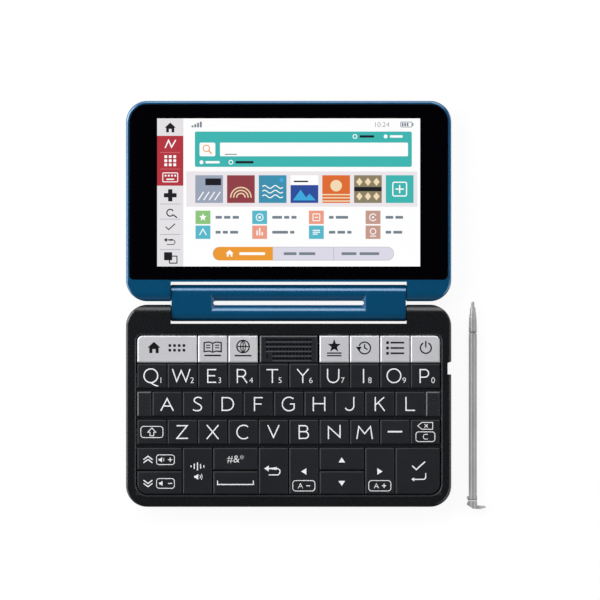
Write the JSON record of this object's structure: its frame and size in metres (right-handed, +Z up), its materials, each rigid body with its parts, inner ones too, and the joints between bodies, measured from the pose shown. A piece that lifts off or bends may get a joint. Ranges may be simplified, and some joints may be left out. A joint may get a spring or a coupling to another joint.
{
  "type": "electronic dictionary",
  "caption": "Clamshell pocket dictionary with a touch screen lid on a two-axis hinge link, a sprung keyboard in the base, and a loose stylus.",
  "frame": {"origin": "centre of the base's flat underside, on the table plane", "axes": "+Z up out of the keys, +Y from the base towards the lid as it lies open flat, +X to the side where the stylus is stored"},
  "size_m": [0.1692, 0.1919, 0.0093],
  "materials": {
    "black_abs": "fine satin grain",
    "blue_abs": "satin",
    "blue_gloss": "gloss",
    "silver_key": "satin silver paint",
    "black_key": "satin",
    "panel_glass": "gloss, black printed border",
    "display_frame": "satin",
    "circuit_board": "solder resist",
    "membrane": "matt film",
    "battery_wrap": "matt wrap",
    "screw_steel": "zinc plated",
    "shaft_steel": "ground",
    "stylus_grey": "satin"
  },
  "bodies": {
    "base": {"lower_case": "black_abs", "upper_case": "black_abs", "battery": "battery_wrap", "main_board": "circuit_board", "key_sheet": "membrane", "case_screws": "screw_steel"},
    "link": {"hinge_link": "blue_abs", "hinge_shafts": "shaft_steel"},
    "lid": {"lid_frame": "blue_abs", "lid_cover": "blue_gloss", "lcd_module": "display_frame", "touch_panel": "panel_glass"},
    "stylus": {"stylus": "stylus_grey"},
    "key_home_cap": {"key_home": "silver_key"},
    "key_dictionary_a_cap": {"key_dictionary_a": "silver_key"},
    "key_dictionary_b_cap": {"key_dictionary_b": "silver_key"},
    "key_favourites_cap": {"key_favourites": "silver_key"},
    "key_history_cap": {"key_history": "silver_key"},
    "key_contents_cap": {"key_contents": "silver_key"},
    "key_power_cap": {"key_power": "silver_key"},
    "key_q_cap": {"key_q": "black_key"},
    "key_w_cap": {"key_w": "black_key"},
    "key_e_cap": {"key_e": "black_key"},
    "key_r_cap": {"key_r": "black_key"},
    "key_t_cap": {"key_t": "black_key"},
    "key_y_cap": {"key_y": "black_key"},
    "key_u_cap": {"key_u": "black_key"},
    "key_i_cap": {"key_i": "black_key"},
    "key_o_cap": {"key_o": "black_key"},
    "key_p_cap": {"key_p": "black_key"},
    "key_a_cap": {"key_a": "black_key"},
    "key_s_cap": {"key_s": "black_key"},
    "key_d_cap": {"key_d": "black_key"},
    "key_f_cap": {"key_f": "black_key"},
    "key_g_cap": {"key_g": "black_key"},
    "key_h_cap": {"key_h": "black_key"},
    "key_j_cap": {"key_j": "black_key"},
    "key_k_cap": {"key_k": "black_key"},
    "key_l_cap": {"key_l": "black_key"},
    "key_shift_cap": {"key_shift": "black_key"},
    "key_z_cap": {"key_z": "black_key"},
    "key_x_cap": {"key_x": "black_key"},
    "key_c_cap": {"key_c": "black_key"},
    "key_v_cap": {"key_v": "black_key"},
    "key_b_cap": {"key_b": "black_key"},
    "key_n_cap": {"key_n": "black_key"},
    "key_m_cap": {"key_m": "black_key"},
    "key_dash_cap": {"key_dash": "black_key"},
    "key_delete_cap": {"key_delete": "black_key"},
    "key_page_up_cap": {"key_page_up": "black_key"},
    "key_page_down_cap": {"key_page_down": "black_key"},
    "key_speak_cap": {"key_speak": "black_key"},
    "key_symbol_cap": {"key_symbol": "black_key"},
    "key_space_cap": {"key_space": "black_key"},
    "key_back_cap": {"key_back": "black_key"},
    "key_left_cap": {"key_left": "black_key"},
    "key_up_cap": {"key_up": "black_key"},
    "key_down_cap": {"key_down": "black_key"},
    "key_right_cap": {"key_right": "black_key"},
    "key_enter_cap": {"key_enter": "black_key"}
  },
  "joints": [
    {"name": "base_hinge", "type": "hinge", "parent": "base", "child": "link", "pos_m": [0, 0.0435, 0.00465], "axis": [1, 0, 0], "range_deg": [-90, 90]},
    {"name": "lid_hinge", "type": "hinge", "parent": "link", "child": "lid", "pos_m": [0, 0.053, 0.00465], "axis": [1, 0, 0], "range_deg": [-90, 90]},
    {"name": "stylus_lift", "type": "slide", "parent": "base", "child": "stylus", "axis": [0, 0, 1], "range_m": [0, 0.1]},
    {"name": "key_home_press", "type": "slide", "parent": "base", "child": "key_home_cap", "axis": [0, 0, -1], "range_m": [0, 0.0005], "stiffness_N_per_m": 600, "springref_m": -0.0005},
    {"name": "key_dictionary_a_press", "type": "slide", "parent": "base", "child": "key_dictionary_a_cap", "axis": [0, 0, -1], "range_m": [0, 0.0005], "stiffness_N_per_m": 600, "springref_m": -0.0005},
    {"name": "key_dictionary_b_press", "type": "slide", "parent": "base", "child": "key_dictionary_b_cap", "axis": [0, 0, -1], "range_m": [0, 0.0005], "stiffness_N_per_m": 600, "springref_m": -0.0005},
    {"name": "key_favourites_press", "type": "slide", "parent": "base", "child": "key_favourites_cap", "axis": [0, 0, -1], "range_m": [0, 0.0005], "stiffness_N_per_m": 600, "springref_m": -0.0005},
    {"name": "key_history_press", "type": "slide", "parent": "base", "child": "key_history_cap", "axis": [0, 0, -1], "range_m": [0, 0.0005], "stiffness_N_per_m": 600, "springref_m": -0.0005},
    {"name": "key_contents_press", "type": "slide", "parent": "base", "child": "key_contents_cap", "axis": [0, 0, -1], "range_m": [0, 0.0005], "stiffness_N_per_m": 600, "springref_m": -0.0005},
    {"name": "key_power_press", "type": "slide", "parent": "base", "child": "key_power_cap", "axis": [0, 0, -1], "range_m": [0, 0.0005], "stiffness_N_per_m": 600, "springref_m": -0.0005},
    {"name": "key_q_press", "type": "slide", "parent": "base", "child": "key_q_cap", "axis": [0, 0, -1], "range_m": [0, 0.0005], "stiffness_N_per_m": 600, "springref_m": -0.0005},
    {"name": "key_w_press", "type": "slide", "parent": "base", "child": "key_w_cap", "axis": [0, 0, -1], "range_m": [0, 0.0005], "stiffness_N_per_m": 600, "springref_m": -0.0005},
    {"name": "key_e_press", "type": "slide", "parent": "base", "child": "key_e_cap", "axis": [0, 0, -1], "range_m": [0, 0.0005], "stiffness_N_per_m": 600, "springref_m": -0.0005},
    {"name": "key_r_press", "type": "slide", "parent": "base", "child": "key_r_cap", "axis": [0, 0, -1], "range_m": [0, 0.0005], "stiffness_N_per_m": 600, "springref_m": -0.0005},
    {"name": "key_t_press", "type": "slide", "parent": "base", "child": "key_t_cap", "axis": [0, 0, -1], "range_m": [0, 0.0005], "stiffness_N_per_m": 600, "springref_m": -0.0005},
    {"name": "key_y_press", "type": "slide", "parent": "base", "child": "key_y_cap", "axis": [0, 0, -1], "range_m": [0, 0.0005], "stiffness_N_per_m": 600, "springref_m": -0.0005},
    {"name": "key_u_press", "type": "slide", "parent": "base", "child": "key_u_cap", "axis": [0, 0, -1], "range_m": [0, 0.0005], "stiffness_N_per_m": 600, "springref_m": -0.0005},
    {"name": "key_i_press", "type": "slide", "parent": "base", "child": "key_i_cap", "axis": [0, 0, -1], "range_m": [0, 0.0005], "stiffness_N_per_m": 600, "springref_m": -0.0005},
    {"name": "key_o_press", "type": "slide", "parent": "base", "child": "key_o_cap", "axis": [0, 0, -1], "range_m": [0, 0.0005], "stiffness_N_per_m": 600, "springref_m": -0.0005},
    {"name": "key_p_press", "type": "slide", "parent": "base", "child": "key_p_cap", "axis": [0, 0, -1], "range_m": [0, 0.0005], "stiffness_N_per_m": 600, "springref_m": -0.0005},
    {"name": "key_a_press", "type": "slide", "parent": "base", "child": "key_a_cap", "axis": [0, 0, -1], "range_m": [0, 0.0005], "stiffness_N_per_m": 600, "springref_m": -0.0005},
    {"name": "key_s_press", "type": "slide", "parent": "base", "child": "key_s_cap", "axis": [0, 0, -1], "range_m": [0, 0.0005], "stiffness_N_per_m": 600, "springref_m": -0.0005},
    {"name": "key_d_press", "type": "slide", "parent": "base", "child": "key_d_cap", "axis": [0, 0, -1], "range_m": [0, 0.0005], "stiffness_N_per_m": 600, "springref_m": -0.0005},
    {"name": "key_f_press", "type": "slide", "parent": "base", "child": "key_f_cap", "axis": [0, 0, -1], "range_m": [0, 0.0005], "stiffness_N_per_m": 600, "springref_m": -0.0005},
    {"name": "key_g_press", "type": "slide", "parent": "base", "child": "key_g_cap", "axis": [0, 0, -1], "range_m": [0, 0.0005], "stiffness_N_per_m": 600, "springref_m": -0.0005},
    {"name": "key_h_press", "type": "slide", "parent": "base", "child": "key_h_cap", "axis": [0, 0, -1], "range_m": [0, 0.0005], "stiffness_N_per_m": 600, "springref_m": -0.0005},
    {"name": "key_j_press", "type": "slide", "parent": "base", "child": "key_j_cap", "axis": [0, 0, -1], "range_m": [0, 0.0005], "stiffness_N_per_m": 600, "springref_m": -0.0005},
    {"name": "key_k_press", "type": "slide", "parent": "base", "child": "key_k_cap", "axis": [0, 0, -1], "range_m": [0, 0.0005], "stiffness_N_per_m": 600, "springref_m": -0.0005},
    {"name": "key_l_press", "type": "slide", "parent": "base", "child": "key_l_cap", "axis": [0, 0, -1], "range_m": [0, 0.0005], "stiffness_N_per_m": 600, "springref_m": -0.0005},
    {"name": "key_shift_press", "type": "slide", "parent": "base", "child": "key_shift_cap", "axis": [0, 0, -1], "range_m": [0, 0.0005], "stiffness_N_per_m": 600, "springref_m": -0.0005},
    {"name": "key_z_press", "type": "slide", "parent": "base", "child": "key_z_cap", "axis": [0, 0, -1], "range_m": [0, 0.0005], "stiffness_N_per_m": 600, "springref_m": -0.0005},
    {"name": "key_x_press", "type": "slide", "parent": "base", "child": "key_x_cap", "axis": [0, 0, -1], "range_m": [0, 0.0005], "stiffness_N_per_m": 600, "springref_m": -0.0005},
    {"name": "key_c_press", "type": "slide", "parent": "base", "child": "key_c_cap", "axis": [0, 0, -1], "range_m": [0, 0.0005], "stiffness_N_per_m": 600, "springref_m": -0.0005},
    {"name": "key_v_press", "type": "slide", "parent": "base", "child": "key_v_cap", "axis": [0, 0, -1], "range_m": [0, 0.0005], "stiffness_N_per_m": 600, "springref_m": -0.0005},
    {"name": "key_b_press", "type": "slide", "parent": "base", "child": "key_b_cap", "axis": [0, 0, -1], "range_m": [0, 0.0005], "stiffness_N_per_m": 600, "springref_m": -0.0005},
    {"name": "key_n_press", "type": "slide", "parent": "base", "child": "key_n_cap", "axis": [0, 0, -1], "range_m": [0, 0.0005], "stiffness_N_per_m": 600, "springref_m": -0.0005},
    {"name": "key_m_press", "type": "slide", "parent": "base", "child": "key_m_cap", "axis": [0, 0, -1], "range_m": [0, 0.0005], "stiffness_N_per_m": 600, "springref_m": -0.0005},
    {"name": "key_dash_press", "type": "slide", "parent": "base", "child": "key_dash_cap", "axis": [0, 0, -1], "range_m": [0, 0.0005], "stiffness_N_per_m": 600, "springref_m": -0.0005},
    {"name": "key_delete_press", "type": "slide", "parent": "base", "child": "key_delete_cap", "axis": [0, 0, -1], "range_m": [0, 0.0005], "stiffness_N_per_m": 600, "springref_m": -0.0005},
    {"name": "key_page_up_press", "type": "slide", "parent": "base", "child": "key_page_up_cap", "axis": [0, 0, -1], "range_m": [0, 0.0005], "stiffness_N_per_m": 600, "springref_m": -0.0005},
    {"name": "key_page_down_press", "type": "slide", "parent": "base", "child": "key_page_down_cap", "axis": [0, 0, -1], "range_m": [0, 0.0005], "stiffness_N_per_m": 600, "springref_m": -0.0005},
    {"name": "key_speak_press", "type": "slide", "parent": "base", "child": "key_speak_cap", "axis": [0, 0, -1], "range_m": [0, 0.0005], "stiffness_N_per_m": 600, "springref_m": -0.0005},
    {"name": "key_symbol_press", "type": "slide", "parent": "base", "child": "key_symbol_cap", "axis": [0, 0, -1], "range_m": [0, 0.0005], "stiffness_N_per_m": 600, "springref_m": -0.0005},
    {"name": "key_space_press", "type": "slide", "parent": "base", "child": "key_space_cap", "axis": [0, 0, -1], "range_m": [0, 0.0005], "stiffness_N_per_m": 600, "springref_m": -0.0005},
    {"name": "key_back_press", "type": "slide", "parent": "base", "child": "key_back_cap", "axis": [0, 0, -1], "range_m": [0, 0.0005], "stiffness_N_per_m": 600, "springref_m": -0.0005},
    {"name": "key_left_press", "type": "slide", "parent": "base", "child": "key_left_cap", "axis": [0, 0, -1], "range_m": [0, 0.0005], "stiffness_N_per_m": 600, "springref_m": -0.0005},
    {"name": "key_up_press", "type": "slide", "parent": "base", "child": "key_up_cap", "axis": [0, 0, -1], "range_m": [0, 0.0005], "stiffness_N_per_m": 600, "springref_m": -0.0005},
    {"name": "key_down_press", "type": "slide", "parent": "base", "child": "key_down_cap", "axis": [0, 0, -1], "range_m": [0, 0.0005], "stiffness_N_per_m": 600, "springref_m": -0.0005},
    {"name": "key_right_press", "type": "slide", "parent": "base", "child": "key_right_cap", "axis": [0, 0, -1], "range_m": [0, 0.0005], "stiffness_N_per_m": 600, "springref_m": -0.0005},
    {"name": "key_enter_press", "type": "slide", "parent": "base", "child": "key_enter_cap", "axis": [0, 0, -1], "range_m": [0, 0.0005], "stiffness_N_per_m": 600, "springref_m": -0.0005}
  ]
}
